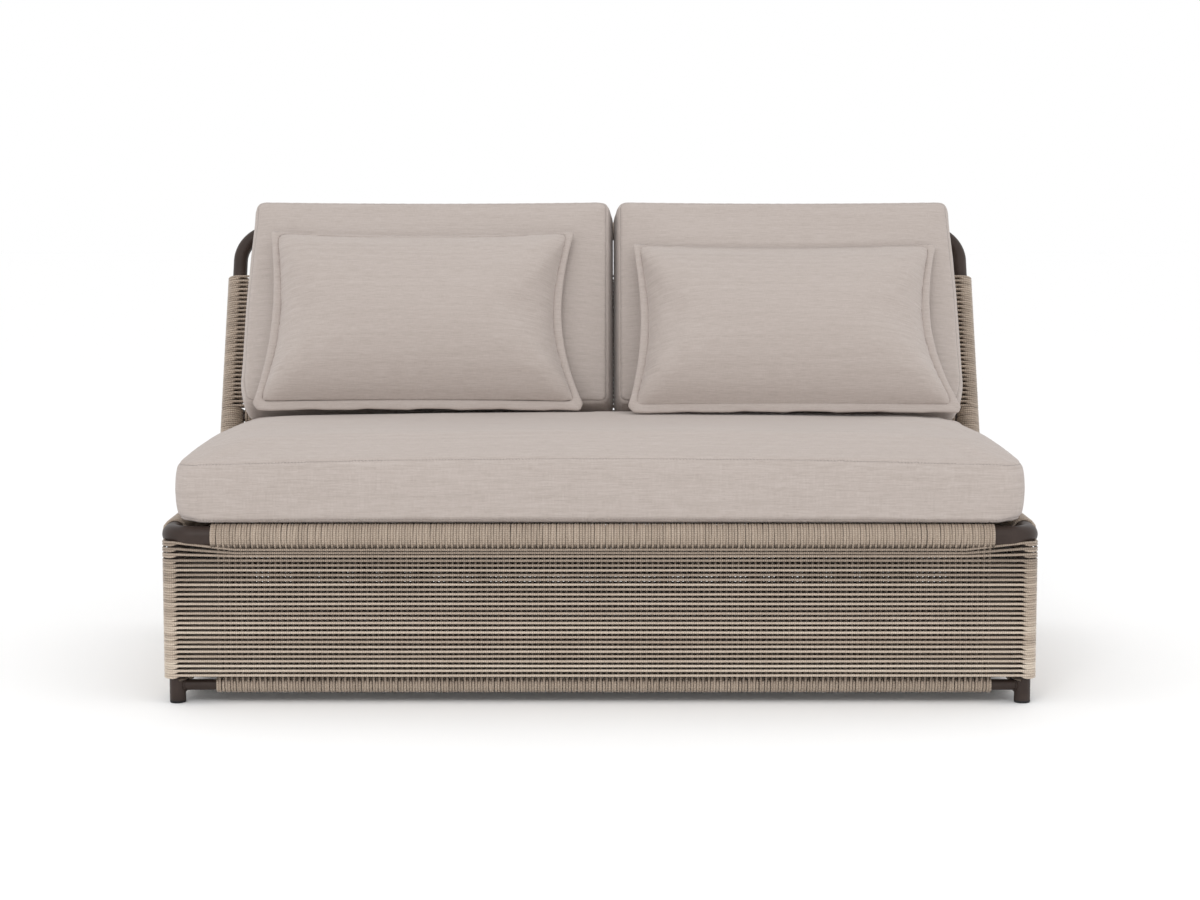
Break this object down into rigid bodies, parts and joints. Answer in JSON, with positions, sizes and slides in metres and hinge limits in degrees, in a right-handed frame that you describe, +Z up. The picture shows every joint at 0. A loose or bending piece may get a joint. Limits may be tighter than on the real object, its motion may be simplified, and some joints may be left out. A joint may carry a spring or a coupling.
{
  "type": "outdoor two-seater sofa",
  "caption": "Armless outdoor sofa: wound cord over a tube base and a leaning tube back, with loose seat and back cushions and flanged lumbar pillows.",
  "frame": {"origin": "on the floor, at the middle of the bounding box", "axes": "+X to the right as seen from the front, +Y to the back, +Z up from the floor; the front faces -Y"},
  "size_m": [1.6296, 0.9594, 0.9216],
  "materials": {
    "frame": "satin powder coat",
    "glide": "matte",
    "cord": "round braided outdoor cord",
    "cushion_fabric": "plain slub weave",
    "cushion_core": "foam and fibre filling",
    "zip": "matte coil zip"
  },
  "bodies": {
    "frame": {"seat_rail_front": "frame", "seat_rail_rear": "frame", "seat_rail_left": "frame", "seat_rail_right": "frame", "seat_elbow_front_left": "frame", "seat_elbow_front_right": "frame", "seat_elbow_rear_left": "frame", "seat_elbow_rear_right": "frame", "post_front_left": "frame", "post_front_right": "frame", "post_rear_left": "frame", "post_rear_right": "frame", "lower_rail_front": "frame", "lower_rail_rear": "frame", "lower_rail_left": "frame", "lower_rail_right": "frame", "seat_bearer_left": "frame", "seat_bearer_right": "frame", "foot_glides": "glide", "back_upright_left": "frame", "back_upright_right": "frame", "back_elbow_left": "frame", "back_elbow_right": "frame", "back_top_rail": "frame", "back_lower_rail": "frame", "seat_rail_winding_front": "cord", "seat_rail_winding_rear": "cord", "seat_rail_winding_left": "cord", "seat_rail_winding_right": "cord", "lower_rail_windings": "cord", "post_windings": "cord", "upright_winding_left": "cord", "upright_winding_right": "cord", "back_top_rail_winding": "cord", "back_lower_rail_winding": "cord", "base_cords_front": "cord", "base_cords_rear": "cord", "base_cords_left": "cord", "base_cords_right": "cord", "back_cords": "cord", "seat_deck_cords": "cord"},
    "seat_cushion": {"seat_cushion_cover": "cushion_fabric", "seat_cushion_core": "cushion_core", "seat_cushion_zip": "zip"},
    "back_cushion_left": {"back_cushion_left_cover": "cushion_fabric", "back_cushion_left_core": "cushion_core", "back_cushion_left_zip": "zip"},
    "back_cushion_right": {"back_cushion_right_cover": "cushion_fabric", "back_cushion_right_core": "cushion_core", "back_cushion_right_zip": "zip"},
    "pillow_left": {"pillow_left_cover": "cushion_fabric", "pillow_left_fill": "cushion_core", "pillow_left_zip": "zip"},
    "pillow_right": {"pillow_right_cover": "cushion_fabric", "pillow_right_fill": "cushion_core", "pillow_right_zip": "zip"}
  },
  "joints": [
    {"name": "seat_cushion_slide", "type": "slide", "parent": "frame", "child": "seat_cushion", "axis": [0, -1, 0], "range_m": [0, 0.7]},
    {"name": "back_cushion_left_lift", "type": "slide", "parent": "frame", "child": "back_cushion_left", "axis": [0, 0.4384, 0.8988], "range_m": [0, 0.55]},
    {"name": "back_cushion_right_lift", "type": "slide", "parent": "frame", "child": "back_cushion_right", "axis": [0, 0.4384, 0.8988], "range_m": [0, 0.55]},
    {"name": "pillow_left_lift", "type": "slide", "parent": "frame", "child": "pillow_left", "axis": [0, 0, 1], "range_m": [0, 0.45]},
    {"name": "pillow_right_lift", "type": "slide", "parent": "frame", "child": "pillow_right", "axis": [0, 0, 1], "range_m": [0, 0.45]}
  ]
}
